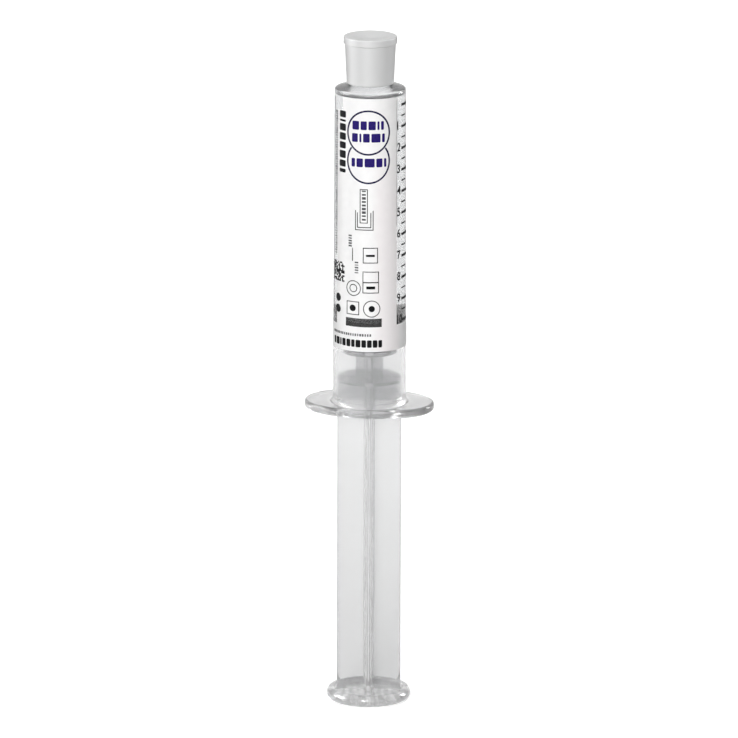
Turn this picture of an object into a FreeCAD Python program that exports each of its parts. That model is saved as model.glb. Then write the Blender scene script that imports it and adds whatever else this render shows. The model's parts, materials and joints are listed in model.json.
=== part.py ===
import FreeCAD, Part
import Sketcher
import math
import os
import re

# A ten-millilitre syringe, filled at the works, standing on its thumb rest with the capped tip up.
# Millimetres. +Z points to the tip, and Z = 0 is the surface that the thumb rest stands on.

doc = FreeCAD.newDocument("PrefilledSyringe")
sheet = doc.addObject("Spreadsheet::Sheet", "Sizes")
aliases = []


def fill_sheet(sizes):
    for alias, content in sizes.items():
        row = len(aliases) + 1
        sheet.set("A%d" % row, alias)
        sheet.set("B%d" % row, str(content))
        sheet.setAlias("B%d" % row, alias)
        aliases.append(alias)


# Driving sizes of the barrel, its finger flange and its locking tip
barrel_sizes = {
    "bore_diameter": 15.6,  # inside of the barrel
    "bore_length": 77.1,  # underside of the flange to the corner at the end of the bore
    "wall_at_tip": 0.7,  # side wall at the shoulder
    "wall_at_flange": 1.0,  # side wall at the flange, thicker by the mould's draft
    "end_cone_rise": 1.5,  # height of the cone that ends the bore
    "end_wall": 1.4,  # upright thickness of the end wall
    "shoulder_round": 0.7,  # rounding of the shoulder's outer edge
    "bore_corner_round": 0.3,  # fillet inside, at the end of the bore
    "mouth_flare": 0.4,  # lead-in at the open end, radial
    "mouth_depth": 0.8,  # lead-in at the open end, along the bore
    "bead_height": 0.1,  # ring inside the mouth that keeps the plunger in, radial
    "bead_length": 1.2,  # the same ring along the bore
    "bead_place": 3.0,  # middle of the ring above the flange's underside
    "flange_length": 31.2,  # finger flange from tip to tip
    "flange_width": 22.2,  # finger flange across
    "flange_tip_radius": 9.2,  # rounding of its two tips in plan
    "flange_thickness": 2.0,  # finger flange
    "flange_edge_round": 0.65,  # rounding of its edges
    "flange_root_round": 0.8,  # fillet between flange and wall
    "flange_turn": -11,  # turn of the flange in plan, degrees
    "channel_diameter": 2.2,  # fluid channel through the tip
    "luer_tip_diameter": 3.97,  # small end of the six per cent cone
    "luer_taper": 0.06,  # change of diameter per length
    "luer_length": 8.5,  # cone above the floor of the collar
    "luer_floor_wall": 1.1,  # collar floor above the top of the bore's cone
    "luer_projection": 2.1,  # cone beyond the end of the collar
    "luer_end_bevel": 0.25,  # bevel at the end of the cone
    "collar_outer_diameter": 9.2,  # locking collar outside
    "collar_inner_diameter": 8.0,  # locking collar inside, at the root of its thread
    "collar_edge_round": 0.2,  # rounding of the collar's end
    "collar_root_round": 0.3,  # fillet between collar and shoulder
}

# Driving sizes of the cap
cap_sizes = {
    "cap_height": 11.35,  # tip cap
    "cap_bottom_diameter": 11.25,  # skirt at its lower edge
    "cap_top_diameter": 12.1,  # skirt just under the band
    "cap_band_diameter": 12.7,  # band round the top
    "cap_band_height": 1.8,  # band round the top
    "cap_band_bevel": 0.15,  # slope of the band's underside
    "cap_edge_round": 0.25,  # rounding of the band's upper edge and of the skirt's lower edge
    "cap_rim_round": 0.2,  # rounding of the rim round the dish
    "cap_lift_gap": 0.3,  # lower edge above the shoulder
    "cap_skirt_clearance": 0.3,  # skirt to collar, radial
    "cap_roof": 2.35,  # closed end above the collar's cavity
    "cap_dish_diameter": 10.8,  # dish in the top, at its rim
    "cap_dish_floor": 3.8,  # flat floor of the dish
    "cap_dish_depth": 0.9,  # dish in the top
    "hub_diameter": 6.6,  # inner hub that closes the cone
    "hub_lift": 0.8,  # hub above the floor of the collar
    "hub_clearance": 0.05,  # hub to cone, radial
}

# Driving sizes of the rubber stopper
stopper_sizes = {
    "stopper_length": 7.25,  # rear face to the edge of the front seal
    "seal_clearance": 0.02,  # seals to bore, radial
    "seal_width": 1.4,  # each sealing ring
    "seal_bevel": 0.4,  # slope beside each sealing ring
    "seal_round": 0.3,  # rounding of the sealing rings
    "nose_round": 0.4,  # rounding of the nose's edge
    "waist_relief": 0.45,  # waist between the seals, radial
    "nose_inset": 0.5,  # edge of the nose inside the bore, radial
    "nose_flat_diameter": 2.4,  # flat at the middle of the nose
    "nose_clearance": 0.4,  # nose to the end of the bore when empty
    "socket_clearance": 0.08,  # socket round the rod's head, radial
    "socket_end_clearance": 0.15,  # socket round the rod's head, lengthwise
    "zero_margin": 2.0,  # zero line below the corner at the end of the bore
    "dose_volume": 10,  # filled volume, millilitres
}

# Driving sizes of the plunger rod
rod_sizes = {
    "rod_length": 87.2,  # thumb rest to the face behind the stopper
    "thumb_diameter": 20.2,  # thumb rest
    "thumb_thickness": 2.8,  # rim of the thumb rest
    "thumb_edge_round": 1.35,  # rounding of that rim
    "thumb_recess_margin": 0.45,  # hollow on the rod's side, beyond the cross, radial
    "thumb_recess_depth": 0.9,  # hollow on the rod's side
    "thumb_recess_slope": 0.3,  # lean of the hollow's wall, radial
    "grip_diameter": 16.4,  # ridged hollow on the thumb's side
    "grip_depth": 0.6,  # ridged hollow on the thumb's side
    "ridge_width": 0.8,  # each ridge
    "ridge_pitch": 1.7,  # ridge to ridge
    "ridge_rooting": 0.2,  # ends of the ridges inside the rim
    "blade_thickness": 1.8,  # each blade of the cross
    "blade_clearance": 0.05,  # blade to the ring in the mouth, radial
    "blade_corner_round": 0.45,  # fillets where the blades meet
    "blade_foot_round": 0.3,  # fillet at the foot of the cross
    "guide_clearance": 0.06,  # guide disc to bore, radial
    "guide_thickness": 0.8,  # guide disc
    "guide_edge_round": 0.15,  # rounding of its edges
    "neck_length": 6.1,  # narrow cross between guide disc and stopper plate
    "neck_span": 6.5,  # width of that narrow cross
    "neck_foot_round": 0.4,  # fillets at both ends of that cross
    "plate_diameter": 13.2,  # plate that pushes the stopper
    "plate_thickness": 1.2,  # plate that pushes the stopper
    "plate_edge_round": 0.25,  # rounding of its lower edge
    "plate_gap": 0.3,  # plate to stopper
    "head_neck_diameter": 5.0,  # stem inside the stopper's mouth
    "head_neck_length": 1.9,  # stem inside the stopper's mouth
    "head_diameter": 8.0,  # head held in the stopper
    "head_length": 1.9,  # straight part of the head
    "head_tip_diameter": 5.0,  # end of the head's cone
    "head_tip_length": 1.1,  # the head's cone
}

# Driving sizes of the label and the liquid
label_sizes = {
    "label_bottom": 15.9,  # lower edge above the flange's underside
    "label_top_margin": 0.35,  # upper edge below the shoulder's rounding
    "label_thickness": 0.06,  # printed film
    "label_gap": 0.01,  # glue line
    "liquid_gap": 0.1,  # liquid to the walls round it
}

# Sizes that follow from the ones above
derived_sizes = {
    "bore_radius": "=bore_diameter / 2",  # barrel
    "channel_radius": "=channel_diameter / 2",  # barrel
    "outer_at_tip": "=bore_radius + wall_at_tip",  # barrel outside, radius at the shoulder
    "outer_at_flange": "=bore_radius + wall_at_flange",  # barrel outside, radius at the flange
    "end_slope": "=end_cone_rise / (bore_radius - channel_radius)",  # rise of the end wall per radius
    "bore_top": "=bore_length + end_cone_rise",  # top of the bore's cone
    # shoulder cone carried to the axis
    "shoulder_base": "=bore_length + end_wall + end_slope * bore_radius",
    "shoulder_edge": "=shoulder_base - end_slope * outer_at_tip",  # shoulder at the outer wall
    "draft_slope": "=(outer_at_flange - outer_at_tip) / shoulder_edge",  # loss of radius per height
    "collar_outer": "=collar_outer_diameter / 2",  # collar radius
    "collar_inner": "=collar_inner_diameter / 2",  # collar radius
    "collar_floor": "=bore_top + luer_floor_wall",  # floor inside the collar
    "luer_end": "=collar_floor + luer_length",  # end of the cone
    "luer_end_radius": "=luer_tip_diameter / 2",  # cone
    "luer_half_taper": "=luer_taper / 2",  # change of radius per length
    "luer_root_radius": "=luer_end_radius + luer_half_taper * luer_length",  # cone at the collar floor
    "flange_half_length": "=flange_length / 2",  # flange
    "flange_half_width": "=flange_width / 2",  # flange
    # radius of the long sides of the flange in plan
    "flange_side_radius":
        "=(flange_half_length ^ 2 + flange_half_width ^ 2 - 2 * flange_half_length * flange_tip_radius)"
        " / (2 * (flange_half_width - flange_tip_radius))",
    "flange_side_offset": "=flange_side_radius - flange_half_width",  # centre of a long side from the axis
    # where the tip and side arcs of the flange meet
    "flange_join_along":
        "=(flange_half_length - flange_tip_radius) * flange_side_radius"
        " / (flange_side_radius - flange_tip_radius)",
    "flange_join_across":
        "=flange_side_offset * flange_tip_radius / (flange_side_radius - flange_tip_radius)",
    "cap_cavity_radius": "=collar_outer + cap_skirt_clearance",  # inside of the skirt
    # lower edge of the cap above the flange's underside
    "cap_seat": "=shoulder_base - end_slope * cap_cavity_radius + cap_lift_gap",
    "cap_cavity_top": "=cap_height - cap_roof",  # roof inside the cap
    "hub_bottom": "=collar_floor + hub_lift - cap_seat",  # lower end of the hub in the cap
    # bore of the hub at its open and its closed end
    "hub_bore_bottom": "=luer_root_radius - luer_half_taper * hub_lift + hub_clearance",
    "hub_bore_top":
        "=luer_end_radius - luer_half_taper * (cap_cavity_top - (luer_end - cap_seat)) + hub_clearance",
    "dose_length": "=1000 * dose_volume / (pi * bore_radius ^ 2)",  # stopper travel for the filled volume
    "fill_line": "=bore_length - zero_margin - dose_length",  # front seal above the flange's underside
    "seal_radius": "=bore_radius - seal_clearance",  # stopper
    "waist_radius": "=seal_radius - waist_relief",  # stopper
    "nose_radius": "=bore_radius - nose_inset",  # stopper
    # edge of the nose
    "nose_edge": "=stopper_length + zero_margin + end_slope * nose_inset - nose_clearance",
    "nose_top": "=nose_edge + end_slope * (nose_radius - nose_flat_diameter / 2)",  # flat of the nose
    "stopper_seat": "=rod_length + plate_gap",  # rear face of the stopper above the ground
    "barrel_seat": "=stopper_seat + stopper_length - fill_line",  # underside of the flange above the ground
    "thumb_radius": "=thumb_diameter / 2",  # thumb rest
    "thumb_web_top": "=thumb_thickness - thumb_recess_depth",  # floor of the hollow on the rod's side
    "blade_reach": "=bore_radius - bead_height - blade_clearance",  # half the width of the cross
    "thumb_recess_radius": "=blade_reach + thumb_recess_margin",  # floor of the hollow on the rod's side
    "blade_corner": "=blade_thickness / sqrt(2)",  # inner corner of the cross from the axis
    "guide_radius": "=bore_radius - guide_clearance",  # guide disc
    "plate_bottom": "=rod_length - plate_thickness",  # plate behind the stopper
    "guide_top": "=plate_bottom - neck_length",  # guide disc
    "guide_bottom": "=guide_top - guide_thickness",  # guide disc
    "head_bottom": "=rod_length + head_neck_length",  # head
    "head_shoulder": "=head_bottom + head_length",  # head
    "head_top": "=head_shoulder + head_tip_length",  # head
    "label_top": "=shoulder_edge - shoulder_round - label_top_margin",  # upper edge of the label
}

for piece_sizes in (barrel_sizes, cap_sizes, stopper_sizes, rod_sizes, label_sizes, derived_sizes):
    fill_sheet(piece_sizes)
doc.recompute()


def formula(text):
    # every alias in the text becomes a reference to its cell
    def cell(word):
        return "Sizes." + word.group() if word.group() in aliases else word.group()
    return re.sub(r"[a-z][a-z_]*", cell, text)


def value(text):
    return float(sheet.evalExpression(formula(text)))


def new_body(name):
    body = doc.addObject("PartDesign::Body", name)
    body.Label = name
    return body


def stand(body, height):
    # sets a body at its height above the ground
    body.setExpression("Placement.Base.z", formula(height))


def new_sketch(body, name, role, height=None, angle=0):
    sketch = body.newObject("Sketcher::SketchObject", name)
    plane = [feature for feature in body.Origin.OriginFeatures if feature.Role == role][0]
    sketch.AttachmentSupport = [(plane, "")]
    sketch.MapMode = "FlatFace"
    turned = FreeCAD.Rotation(FreeCAD.Vector(0, 0, 1), angle)
    sketch.AttachmentOffset = FreeCAD.Placement(FreeCAD.Vector(0, 0, 0), turned)
    if height:
        sketch.setExpression("AttachmentOffset.Base.z", formula(height))
    return sketch


def hold(sketch, edge, end, place):
    # keeps one end of an edge at the place that two formulas give
    for axis, line, text in (("X", -2, place[0]), ("Y", -1, place[1])):
        if text == "0":
            sketch.addConstraint(Sketcher.Constraint("PointOnObject", edge, end, line))
        else:
            rule = sketch.addConstraint(Sketcher.Constraint("Distance" + axis, edge, end, value(text)))
            sketch.setExpression("Constraints[%d]" % rule, formula(text))


def draw_outline(sketch, corners):
    # a closed outline of straight edges from corner to corner
    places = [FreeCAD.Vector(value(across), value(up), 0) for across, up in corners]
    first = sketch.GeometryCount
    count = len(corners)
    for index in range(count):
        sketch.addGeometry(Part.LineSegment(places[index], places[(index + 1) % count]))
    for index in range(count):
        following = first + (index + 1) % count
        sketch.addConstraint(Sketcher.Constraint("Coincident", first + index, 2, following, 1))
    for index, corner in enumerate(corners):
        hold(sketch, first + index, 1, corner)


def turn(body, name, kind, corners):
    # a half section turned once round the body's upright axis
    sketch = new_sketch(body, name + "_section", "XZ_Plane")
    draw_outline(sketch, corners)
    feature = body.newObject("PartDesign::" + kind, name)
    feature.Profile = sketch
    feature.ReferenceAxis = (sketch, ["V_Axis"])
    feature.Angle = 360
    doc.recompute()
    return feature


def pad(body, sketch, name, length):
    feature = body.newObject("PartDesign::Pad", name)
    feature.Profile = sketch
    feature.setExpression("Length", formula(length))
    doc.recompute()
    return feature


def edges_within(shape, heights, distances):
    # edges that lie wholly between two heights and two distances from the axis; seams are left out
    slack = 0.01
    low, high = value(heights[0]) - slack, value(heights[-1]) + slack
    least, most = value(distances[0]) - slack, value(distances[-1]) + slack
    names = []
    for number, edge in enumerate(shape.Edges, 1):
        points = edge.discretize(5)
        fits = all(low < point.z < high and least < math.hypot(point.x, point.y) < most for point in points)
        if fits and len(shape.ancestorsOfType(edge, Part.Face)) == 2:
            names.append("Edge%d" % number)
    return names


def round_edges(body, name, radius, heights, distances):
    base = body.Tip
    feature = body.newObject("PartDesign::Fillet", name)
    feature.Base = (base, edges_within(base.Shape, heights, distances))
    feature.setExpression("Radius", formula(radius))
    doc.recompute()
    return feature


# The barrel: one clear moulding with its finger flange, shoulder, locking collar and cone
def make_barrel():
    body = new_body("barrel")
    plan = new_sketch(body, "flange_plan", "XY_Plane")
    plan.setExpression("AttachmentOffset.Rotation.Angle", formula("flange_turn"))
    draw_oval(plan)
    pad(body, plan, "flange", "flange_thickness")
    turn(body, "outside", "Revolution", [
        ("0", "0"),
        ("outer_at_flange", "0"),
        ("outer_at_tip", "shoulder_edge"),
        ("collar_outer", "shoulder_base - end_slope * collar_outer"),
        ("collar_outer", "luer_end - luer_projection"),
        ("collar_inner", "luer_end - luer_projection"),
        ("collar_inner", "collar_floor"),
        ("luer_root_radius", "collar_floor"),
        ("luer_end_radius", "luer_end - luer_end_bevel"),
        ("luer_end_radius - luer_end_bevel", "luer_end"),
        ("0", "luer_end"),
    ])
    turn(body, "bore", "Groove", [
        ("0", "0"),
        ("bore_radius + mouth_flare", "0"),
        ("bore_radius", "mouth_depth"),
        ("bore_radius", "bead_place - bead_length / 2"),
        ("bore_radius - bead_height", "bead_place - bead_length / 6"),
        ("bore_radius - bead_height", "bead_place + bead_length / 6"),
        ("bore_radius", "bead_place + bead_length / 2"),
        ("bore_radius", "bore_length"),
        ("channel_radius", "bore_top"),
        ("channel_radius", "luer_end"),
        ("0", "luer_end"),
    ])
    collar_root = ["shoulder_base - end_slope * collar_outer"]
    collar_end = ["luer_end - luer_projection"]
    around_flange = ["flange_half_width", "flange_half_length"]
    round_edges(body, "shoulder_rounding", "shoulder_round", ["shoulder_edge"], ["outer_at_tip"])
    round_edges(body, "bore_corner", "bore_corner_round", ["bore_length"], ["bore_radius"])
    round_edges(body, "collar_root", "collar_root_round", collar_root, ["collar_outer"])
    round_edges(body, "collar_outer_edge", "collar_edge_round", collar_end, ["collar_outer"])
    round_edges(body, "collar_inner_edge", "collar_edge_round", collar_end, ["collar_inner"])
    round_edges(body, "flange_root", "flange_root_round", ["flange_thickness"],
                ["outer_at_tip", "outer_at_flange"])
    round_edges(body, "flange_upper_edge", "flange_edge_round", ["flange_thickness"], around_flange)
    round_edges(body, "flange_lower_edge", "flange_edge_round", ["0"], around_flange)
    stand(body, "barrel_seat")
    return body


def draw_oval(sketch):
    # four arcs, two round tips and two long sides, that run into each other smoothly
    along = value("flange_join_along")
    across = value("flange_join_across")
    tip_centre = value("flange_half_length - flange_tip_radius")
    side_centre = value("flange_side_offset")
    spread = math.atan2(side_centre, tip_centre)
    up = FreeCAD.Vector(0, 0, 1)
    arcs = [
        (tip_centre, 0, "flange_tip_radius", -spread, spread),
        (0, -side_centre, "flange_side_radius", spread, math.pi - spread),
        (-tip_centre, 0, "flange_tip_radius", math.pi - spread, math.pi + spread),
        (0, side_centre, "flange_side_radius", math.pi + spread, 2 * math.pi - spread),
    ]
    for across_centre, up_centre, radius, start, end in arcs:
        circle = Part.Circle(FreeCAD.Vector(across_centre, up_centre, 0), up, value(radius))
        sketch.addGeometry(Part.ArcOfCircle(circle, start, end))
    ends = [("", ""), ("-", ""), ("-", "-"), ("", "-")]
    for index, (left, down) in enumerate(ends):
        sketch.addConstraint(Sketcher.Constraint("Coincident", index, 2, (index + 1) % 4, 1))
        hold(sketch, index, 2, (left + "flange_join_along", down + "flange_join_across"))
        rule = sketch.addConstraint(Sketcher.Constraint("Radius", index, value(arcs[index][2])))
        sketch.setExpression("Constraints[%d]" % rule, formula(arcs[index][2]))


# The cap: a banded skirt over the collar, a dished top and a hub that closes the cone
def make_tip_cap():
    body = new_body("tip_cap")
    turn(body, "outside", "Revolution", [
        ("0", "0"),
        ("cap_bottom_diameter / 2", "0"),
        ("cap_top_diameter / 2", "cap_height - cap_band_height"),
        ("cap_band_diameter / 2", "cap_height - cap_band_height + cap_band_bevel"),
        ("cap_band_diameter / 2", "cap_height"),
        ("cap_dish_diameter / 2", "cap_height"),
        ("cap_dish_floor / 2", "cap_height - cap_dish_depth"),
        ("0", "cap_height - cap_dish_depth"),
    ])
    turn(body, "cavity", "Groove", [
        ("0", "0"),
        ("cap_cavity_radius", "0"),
        ("cap_cavity_radius", "cap_cavity_top"),
        ("hub_diameter / 2", "cap_cavity_top"),
        ("hub_diameter / 2", "hub_bottom"),
        ("hub_bore_bottom", "hub_bottom"),
        ("hub_bore_top", "cap_cavity_top"),
        ("0", "cap_cavity_top"),
    ])
    round_edges(body, "band_edge", "cap_edge_round", ["cap_height"], ["cap_band_diameter / 2"])
    round_edges(body, "skirt_edge", "cap_edge_round", ["0"], ["cap_bottom_diameter / 2"])
    round_edges(body, "dish_rim", "cap_rim_round", ["cap_height"], ["cap_dish_diameter / 2"])
    stand(body, "barrel_seat + cap_seat")
    return body


# The stopper: two sealing rings, a waist, a cone nose and a socket for the rod's head
def make_stopper():
    body = new_body("stopper")
    turn(body, "outside", "Revolution", [
        ("0", "0"),
        ("waist_radius", "0"),
        ("seal_radius", "seal_bevel"),
        ("seal_radius", "seal_bevel + seal_width"),
        ("waist_radius", "2 * seal_bevel + seal_width"),
        ("waist_radius", "stopper_length - seal_width - seal_bevel"),
        ("seal_radius", "stopper_length - seal_width"),
        ("seal_radius", "stopper_length"),
        ("nose_radius", "nose_edge"),
        ("nose_flat_diameter / 2", "nose_top"),
        ("0", "nose_top"),
    ])
    # the head's underside sits head_neck_length above the plate, and the stopper plate_gap above it
    turn(body, "socket", "Groove", [
        ("0", "0"),
        ("head_neck_diameter / 2 + socket_clearance", "0"),
        ("head_neck_diameter / 2 + socket_clearance", "head_bottom - stopper_seat - socket_end_clearance"),
        ("head_diameter / 2 + socket_clearance", "head_bottom - stopper_seat - socket_end_clearance"),
        ("head_diameter / 2 + socket_clearance", "head_shoulder - stopper_seat + socket_end_clearance"),
        ("head_tip_diameter / 2 + socket_clearance", "head_top - stopper_seat + socket_end_clearance"),
        ("0", "head_top - stopper_seat + socket_end_clearance"),
    ])
    round_edges(body, "seal_rounding", "seal_round", ["0", "stopper_length - seal_width"], ["seal_radius"])
    round_edges(body, "nose_rounding", "nose_round", ["nose_edge"], ["nose_radius"])
    stand(body, "stopper_seat")
    return body


# The rod: thumb rest, four blades, guide disc, narrow neck, plate and head in one clear moulding
def make_plunger_rod():
    body = new_body("plunger_rod")
    turn(body, "thumb_rest", "Revolution", [
        ("0", "0"),
        ("thumb_radius", "0"),
        ("thumb_radius", "thumb_thickness"),
        ("thumb_recess_radius + thumb_recess_slope", "thumb_thickness"),
        ("thumb_recess_radius", "thumb_web_top"),
        ("0", "thumb_web_top"),
    ])
    round_edges(body, "rim_upper_round", "thumb_edge_round", ["thumb_thickness"], ["thumb_radius"])
    round_edges(body, "rim_lower_round", "thumb_edge_round", ["0"], ["thumb_radius"])
    turn(body, "grip_hollow", "Groove", [
        ("0", "0"),
        ("grip_diameter / 2", "0"),
        ("grip_diameter / 2", "grip_depth"),
        ("0", "grip_depth"),
    ])
    add_ridges(body)
    add_cross(body, "blade", "blade_reach", "thumb_web_top", "guide_bottom")
    round_edges(body, "blade_foot", "blade_foot_round", ["thumb_web_top"], ["blade_corner", "blade_reach"])
    turn(body, "guide_disc", "Revolution", [
        ("0", "guide_bottom"),
        ("guide_radius", "guide_bottom"),
        ("guide_radius", "guide_top"),
        ("0", "guide_top"),
    ])
    round_edges(body, "guide_edges", "guide_edge_round", ["guide_bottom", "guide_top"], ["guide_radius"])
    add_cross(body, "neck", "neck_span / 2", "guide_top", "plate_bottom")
    turn(body, "plate_and_head", "Revolution", [
        ("0", "plate_bottom"),
        ("plate_diameter / 2", "plate_bottom"),
        ("plate_diameter / 2", "rod_length"),
        ("head_neck_diameter / 2", "rod_length"),
        ("head_neck_diameter / 2", "head_bottom"),
        ("head_diameter / 2", "head_bottom"),
        ("head_diameter / 2", "head_shoulder"),
        ("head_tip_diameter / 2", "head_top"),
        ("0", "head_top"),
    ])
    round_edges(body, "plate_edge", "plate_edge_round", ["plate_bottom"], ["plate_diameter / 2"])
    for end, height in (("lower", "guide_top"), ("upper", "plate_bottom")):
        round_edges(body, "neck_foot_" + end, "neck_foot_round", [height], ["blade_corner", "neck_span / 2"])
    return body


def add_ridges(body):
    # they run front to back and end in the rim, so each is as long as the hollow there
    plan = new_sketch(body, "ridge_plan", "XY_Plane")
    reach = "grip_diameter / 2"
    side_count = int(value(reach + " - ridge_width") // value("ridge_pitch"))
    for step in range(-side_count, side_count + 1):
        low = "%d * ridge_pitch - ridge_width / 2" % step
        high = "%d * ridge_pitch + ridge_width / 2" % step
        half = "sqrt((%s + ridge_rooting) ^ 2 - (%d * ridge_pitch) ^ 2)" % (reach, step)
        draw_outline(plan, [(low, "-" + half), (high, "-" + half), (high, half), (low, half)])
    pad(body, plan, "ridges", "grip_depth")


def add_cross(body, name, reach, low, high):
    # two blades at right angles, with fillets where they meet
    for axis, angle in (("X", 0), ("Y", 90)):
        plan = new_sketch(body, "%s_plan_%s" % (name, axis), "XY_Plane", low, angle)
        draw_slot(plan, reach + " - blade_thickness / 2", "blade_thickness / 2")
        pad(body, plan, "%s_%s" % (name, axis), "%s - %s" % (high, low))
    round_edges(body, name + "_corners", "blade_corner_round", [low, high], ["blade_corner"])


def draw_slot(sketch, half, radius):
    # a blade seen end on: two straight faces and two round edges
    reach = value(half)
    thick = value(radius)
    up = FreeCAD.Vector(0, 0, 1)
    for side in (1, -1):
        circle = Part.Circle(FreeCAD.Vector(side * reach, 0, 0), up, thick)
        start = -math.pi / 2 * side
        sketch.addGeometry(Part.ArcOfCircle(circle, start, start + math.pi))
        near_end = FreeCAD.Vector(side * reach, side * thick, 0)
        far_end = FreeCAD.Vector(-side * reach, side * thick, 0)
        sketch.addGeometry(Part.LineSegment(near_end, far_end))
    for index in range(4):
        sketch.addConstraint(Sketcher.Constraint("Tangent", index, 2, (index + 1) % 4, 1))
    for arc, sign in ((0, ""), (2, "-")):
        hold(sketch, arc, 3, (sign + "(" + half + ")", "0"))
        rule = sketch.addConstraint(Sketcher.Constraint("Radius", arc, thick))
        sketch.setExpression("Constraints[%d]" % rule, formula(radius))


# The label: a thin film wrapped on the barrel's drafted wall
def make_label():
    body = new_body("label")
    low = "outer_at_flange - draft_slope * label_bottom + label_gap"
    high = "outer_at_flange - draft_slope * label_top + label_gap"
    turn(body, "film", "Revolution", [
        (low, "label_bottom"),
        (low + " + label_thickness", "label_bottom"),
        (high + " + label_thickness", "label_top"),
        (high, "label_top"),
    ])
    stand(body, "barrel_seat")
    return body


# The liquid: it fills the bore from the stopper's nose to the cone at the end
def make_saline():
    body = new_body("saline")
    side = "bore_radius - liquid_gap"
    lift = "fill_line - stopper_length + liquid_gap"
    turn(body, "column", "Revolution", [
        ("0", lift + " + nose_top"),
        ("nose_flat_diameter / 2", lift + " + nose_top"),
        ("nose_radius", lift + " + nose_edge"),
        (side, lift + " + nose_edge"),
        (side, "bore_length - liquid_gap"),
        ("channel_radius", "bore_top - liquid_gap"),
        ("0", "bore_top - liquid_gap"),
    ])
    stand(body, "barrel_seat")
    return body


bodies = [make_barrel(), make_label(), make_saline(), make_tip_cap(), make_stopper(), make_plunger_rod()]
doc.recompute()

for item in doc.Objects:
    if "Invalid" in item.State or "Error" in item.State:
        raise RuntimeError("%s did not build" % item.Name)
for body in bodies:
    if body.Shape.isNull() or not body.Shape.isValid() or len(body.Shape.Solids) != 1:
        raise RuntimeError("%s is not one sound solid" % body.Label)

os.makedirs("parts", exist_ok=True)
for body in bodies:
    body.Shape.exportStep("parts/%s.step" % body.Label)
    box = body.Shape.BoundBox
    print("%-12s %9.2f mm3, z %7.2f to %7.2f" % (body.Label, body.Shape.Volume, box.ZMin, box.ZMax))
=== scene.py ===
import json
import math
import bmesh
import bpy
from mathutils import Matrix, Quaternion, Vector

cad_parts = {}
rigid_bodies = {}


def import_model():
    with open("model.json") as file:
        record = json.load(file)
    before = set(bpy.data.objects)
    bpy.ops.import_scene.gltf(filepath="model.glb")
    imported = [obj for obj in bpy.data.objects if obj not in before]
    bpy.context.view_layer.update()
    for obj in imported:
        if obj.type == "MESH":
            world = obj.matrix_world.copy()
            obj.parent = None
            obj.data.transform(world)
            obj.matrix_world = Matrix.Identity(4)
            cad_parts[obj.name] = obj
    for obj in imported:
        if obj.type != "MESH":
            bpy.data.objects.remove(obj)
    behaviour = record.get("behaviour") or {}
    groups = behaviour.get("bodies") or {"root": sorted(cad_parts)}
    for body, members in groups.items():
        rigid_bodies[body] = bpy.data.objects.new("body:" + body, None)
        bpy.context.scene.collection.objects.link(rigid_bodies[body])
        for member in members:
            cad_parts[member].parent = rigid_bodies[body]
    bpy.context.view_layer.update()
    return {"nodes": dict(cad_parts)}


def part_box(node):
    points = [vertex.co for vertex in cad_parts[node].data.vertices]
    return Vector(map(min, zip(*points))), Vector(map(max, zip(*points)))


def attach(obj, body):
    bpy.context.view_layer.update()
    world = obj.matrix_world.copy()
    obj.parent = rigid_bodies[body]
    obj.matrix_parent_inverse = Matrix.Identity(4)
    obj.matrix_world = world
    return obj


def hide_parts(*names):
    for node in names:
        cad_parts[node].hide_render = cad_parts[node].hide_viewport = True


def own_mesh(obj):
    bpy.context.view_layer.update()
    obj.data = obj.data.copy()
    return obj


for leftover in list(bpy.data.objects):  # the startup cube, lamp and camera
    bpy.data.objects.remove(leftover)
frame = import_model()
mm = 0.001


# Meshes

def linkMesh(name, mesh, material):
    piece = bpy.data.objects.new(name, mesh)
    bpy.context.scene.collection.objects.link(piece)
    mesh.materials.clear()
    mesh.materials.append(material)
    return piece


def roundedOutline(corners, steps):
    # corners are (radius, height, rounding) in mm; each rounding becomes an arc
    outline = []
    count = len(corners)
    for index, (radius, height, rounding) in enumerate(corners):
        here = Vector((radius, height))
        if not rounding:
            outline.append(here)
            continue
        before = Vector(corners[index - 1][:2]) - here
        after = Vector(corners[(index + 1) % count][:2]) - here
        half = before.angle(after) / 2
        reach = min(rounding / math.tan(half), 0.49 * before.length, 0.49 * after.length)
        size = reach * math.tan(half)
        centre = here + (before.normalized() + after.normalized()).normalized() * size / math.sin(half)
        start = here + before.normalized() * reach - centre
        end = here + after.normalized() * reach - centre
        sweep = start.angle_signed(end)
        for step in range(steps + 1):
            angle = -sweep * step / steps
            outline.append(centre + Vector((start.x * math.cos(angle) - start.y * math.sin(angle),
                                            start.x * math.sin(angle) + start.y * math.cos(angle))))
    return outline


def turnedSolid(name, corners, material, segments=160, steps=6, sharp=35):
    # a closed outline turned round the upright axis
    shape = bmesh.new()
    rings = []
    for point in roundedOutline(corners, steps):
        if point.x < 0.001:  # on the axis
            rings.append([shape.verts.new((0, 0, point.y * mm))])
            continue
        ring = []
        for step in range(segments):
            angle = 2 * math.pi * step / segments
            place = Vector((point.x * math.cos(angle), point.x * math.sin(angle), point.y))
            ring.append(shape.verts.new(place * mm))
        rings.append(ring)
    for index, ring in enumerate(rings):
        other = rings[(index + 1) % len(rings)]
        if len(ring) == 1 and len(other) == 1:
            continue
        for step in range(segments):
            following = (step + 1) % segments
            corner = [ring[step % len(ring)], ring[following % len(ring)],
                      other[following % len(other)], other[step % len(other)]]
            shape.faces.new(list(dict.fromkeys(corner)))
    bmesh.ops.recalc_face_normals(shape, faces=shape.faces)
    mesh = bpy.data.meshes.new(name)
    shape.to_mesh(mesh)
    shape.free()
    mesh.shade_smooth()
    mesh.set_sharp_from_angle(angle=math.radians(sharp))
    return linkMesh(name, mesh, material)


# Nodes

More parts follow.
